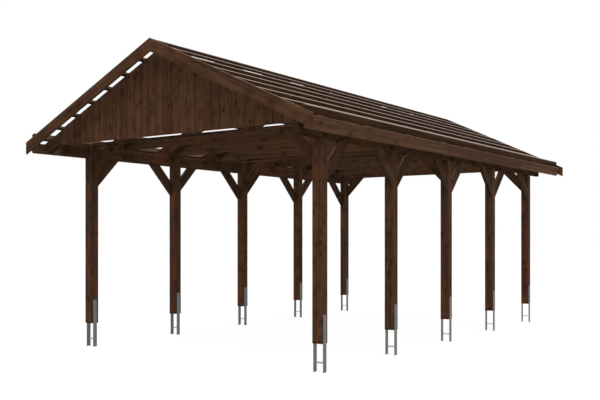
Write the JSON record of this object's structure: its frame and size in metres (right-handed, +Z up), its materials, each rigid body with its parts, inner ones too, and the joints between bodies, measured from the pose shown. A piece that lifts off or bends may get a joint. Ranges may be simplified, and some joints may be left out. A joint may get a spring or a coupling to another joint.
{
  "type": "carport",
  "caption": "Open timber carport: gable roof of bare battens on rafters, boarded gables, and braced square posts in rows on steel ground anchors.",
  "frame": {"origin": "middle of the bounding box at the lower ends of the anchor straps", "axes": "+Z up, Y along the ridge with the front gable towards -Y, X across the roof"},
  "size_m": [4.3, 7.55, 3.578],
  "materials": {
    "post_timber": "brown stain over visible grain",
    "anchor_steel": "galvanised",
    "purlin_timber": "brown stain over visible grain",
    "brace_timber": "brown stain over visible grain",
    "tie_timber": "brown stain over visible grain",
    "rafter_timber": "brown stain over visible grain",
    "gable_boards": "brown stain over visible grain",
    "bargeboard_timber": "brown stain over visible grain",
    "fascia_timber": "brown stain over visible grain",
    "batten_timber": "brown stain over visible grain"
  },
  "bodies": {
    "root": {"left_post_1": "post_timber", "left_post_2": "post_timber", "left_post_3": "post_timber", "left_post_4": "post_timber", "left_post_5": "post_timber", "right_post_1": "post_timber", "right_post_2": "post_timber", "right_post_3": "post_timber", "right_post_4": "post_timber", "right_post_5": "post_timber", "left_anchor_1": "anchor_steel", "left_anchor_2": "anchor_steel", "left_anchor_3": "anchor_steel", "left_anchor_4": "anchor_steel", "left_anchor_5": "anchor_steel", "right_anchor_1": "anchor_steel", "right_anchor_2": "anchor_steel", "right_anchor_3": "anchor_steel", "right_anchor_4": "anchor_steel", "right_anchor_5": "anchor_steel", "left_purlin": "purlin_timber", "right_purlin": "purlin_timber", "left_side_braces": "brace_timber", "right_side_braces": "brace_timber", "front_tie_beam": "tie_timber", "middle_tie_beam": "tie_timber", "back_tie_beam": "tie_timber", "collar_ties": "tie_timber", "front_cross_braces": "brace_timber", "middle_cross_braces": "brace_timber", "back_cross_braces": "brace_timber", "left_rafters": "rafter_timber", "right_rafters": "rafter_timber", "front_gable": "gable_boards", "back_gable": "gable_boards", "front_left_bargeboard": "bargeboard_timber", "front_right_bargeboard": "bargeboard_timber", "back_left_bargeboard": "bargeboard_timber", "back_right_bargeboard": "bargeboard_timber", "left_fascia": "fascia_timber", "right_fascia": "fascia_timber", "left_battens": "batten_timber", "right_battens": "batten_timber", "eave_battens": "batten_timber"}
  },
  "joints": []
}
